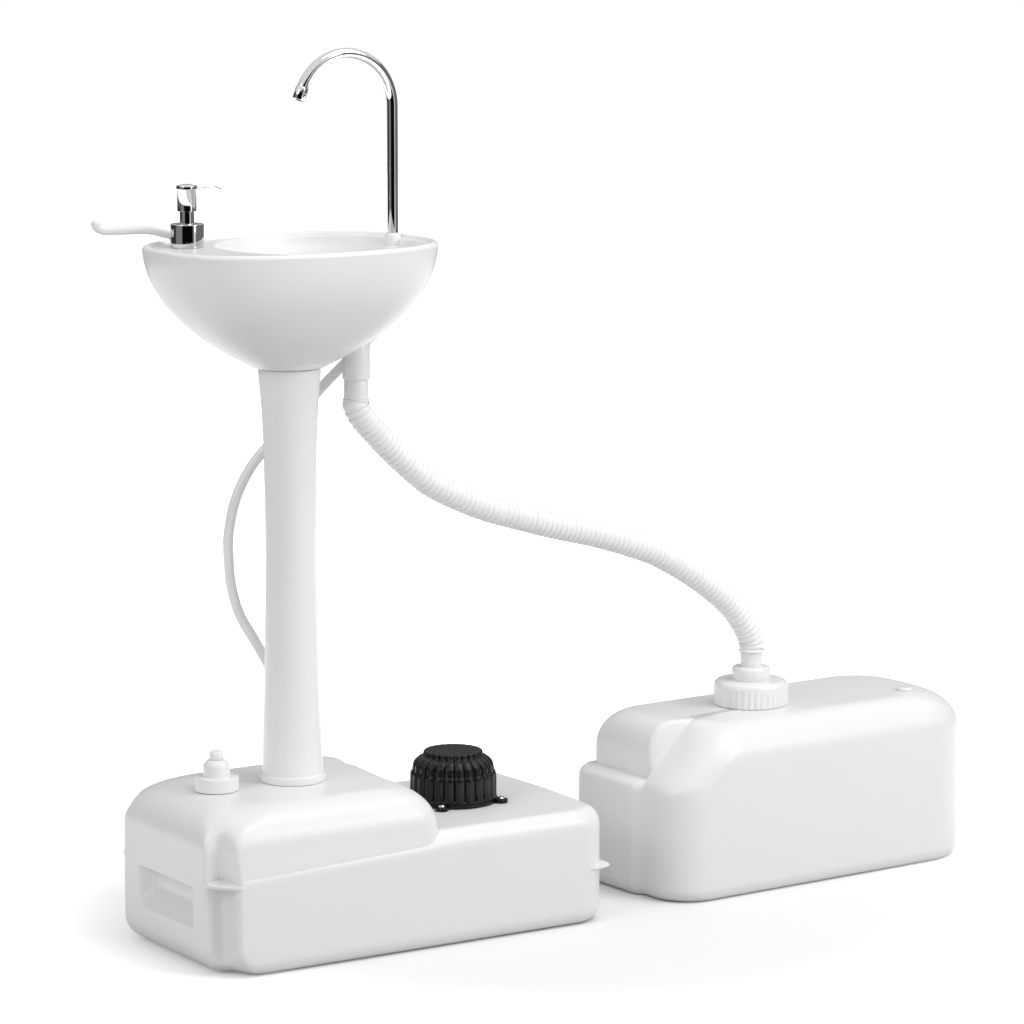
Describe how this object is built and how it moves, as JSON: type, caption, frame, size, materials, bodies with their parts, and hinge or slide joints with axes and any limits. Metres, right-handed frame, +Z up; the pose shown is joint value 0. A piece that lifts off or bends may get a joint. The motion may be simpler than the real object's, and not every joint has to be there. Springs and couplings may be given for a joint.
{
  "type": "portable wash stand",
  "caption": "Knock-down camping wash stand: foot-pump water tank, column, oval basin with gooseneck faucet and soap pump, hose to a recovery tank.",
  "frame": {"origin": "where the column's axis meets the floor, under the base tank", "axes": "+X along the base tank towards the foot pump and the recovery tank, +Y to the back, +Z up"},
  "size_m": [1.1175, 0.27, 1.0262],
  "materials": {
    "white_plastic": "satin moulded polyethylene",
    "black_plastic": "satin moulded rubbery plastic",
    "clear_plastic": "milky, semi-gloss",
    "rubber": "matt",
    "chrome": "mirror-bright plating",
    "steel": "bright zinc-plated or stainless"
  },
  "bodies": {
    "stand": {"base_tank": "white_plastic", "pump_flange": "black_plastic", "pump_gasket": "rubber", "pump_cup": "black_plastic", "pump_spring": "steel", "outlet_valve": "rubber", "pump_screws": "steel", "suction_pipe": "clear_plastic", "suction_strainer": "black_plastic", "delivery_hose": "clear_plastic", "outlet_fitting": "white_plastic", "column": "white_plastic", "basin": "white_plastic", "drain_strainer": "chrome", "drain_gasket": "rubber", "drain_nut": "white_plastic", "drain_pipe": "white_plastic", "hose_cuff_top": "white_plastic", "drain_hose": "white_plastic", "hose_cuff_end": "white_plastic", "faucet_ferrule": "white_plastic", "faucet_nut": "white_plastic", "supply_hose": "clear_plastic", "soap_base": "chrome", "soap_bottle": "clear_plastic", "soap_barrel": "clear_plastic", "soap_spring": "steel", "recovery_tank": "white_plastic", "recovery_cap": "white_plastic", "cap_gasket": "rubber", "cap_ring": "white_plastic"},
    "pump_top": {"pump_tread": "black_plastic"},
    "inlet_flap": {"inlet_valve": "rubber"},
    "soap_plunger": {"soap_stem": "clear_plastic"},
    "soap_spout": {"soap_head": "chrome"},
    "faucet": {"faucet_tube": "chrome", "faucet_nozzle": "chrome", "faucet_o_rings": "rubber"},
    "towel_bar": {"towel_arm": "white_plastic"},
    "filler_lift": {"filler_gasket": "rubber"},
    "filler_closure": {"filler_cap": "white_plastic", "vent_barrel": "white_plastic"},
    "vent_nozzle": {"vent_tip": "white_plastic"},
    "recovery_vent": {"vent_plug": "white_plastic"}
  },
  "joints": [
    {"name": "pump_stroke", "type": "slide", "parent": "stand", "child": "pump_top", "axis": [0, 0, -1], "range_m": [0, 0.03], "stiffness_N_per_m": 900, "springref_m": -0.012, "deforming": ["pump_spring", "pump_cup"]},
    {"name": "inlet_flap_lift", "type": "slide", "parent": "stand", "child": "inlet_flap", "axis": [0, 0, 1], "range_m": [0, 0.0025]},
    {"name": "soap_stroke", "type": "slide", "parent": "stand", "child": "soap_plunger", "axis": [0, 0, -1], "range_m": [0, 0.012], "stiffness_N_per_m": 350, "springref_m": -0.006, "deforming": ["soap_spring"]},
    {"name": "soap_spout_swivel", "type": "hinge", "parent": "soap_plunger", "child": "soap_spout", "pos_m": [-0.104, 0.048, 0.85], "axis": [0, 0, 1], "continuous": true},
    {"name": "faucet_swivel", "type": "hinge", "parent": "stand", "child": "faucet", "pos_m": [0.15, 0.02, 0.8], "axis": [0, 0, 1], "range_deg": [-75, 75]},
    {"name": "towel_arm_swing", "type": "hinge", "parent": "stand", "child": "towel_bar", "pos_m": [-0.098, 0.08, 0.806], "axis": [0, 0, 1], "range_deg": [-70, 40]},
    {"name": "filler_cap_lift", "type": "slide", "parent": "stand", "child": "filler_lift", "axis": [0, 0, 1], "range_m": [0, 0.0045]},
    {"name": "filler_cap_turn", "type": "hinge", "parent": "filler_lift", "child": "filler_closure", "pos_m": [-0.1, 0, 0.2], "axis": [0, 0, 1], "range_deg": [0, 540]},
    {"name": "vent_tip_pull", "type": "slide", "parent": "filler_closure", "child": "vent_nozzle", "axis": [0, 0, 1], "range_m": [0, 0.004]},
    {"name": "recovery_vent_pull", "type": "slide", "parent": "stand", "child": "recovery_vent", "axis": [0, 0, 1], "range_m": [0, 0.01]}
  ],
  "couplings": [
    {"joint": "filler_cap_lift", "follows": "filler_cap_turn", "m_per_rad": 0.00047746}
  ]
}
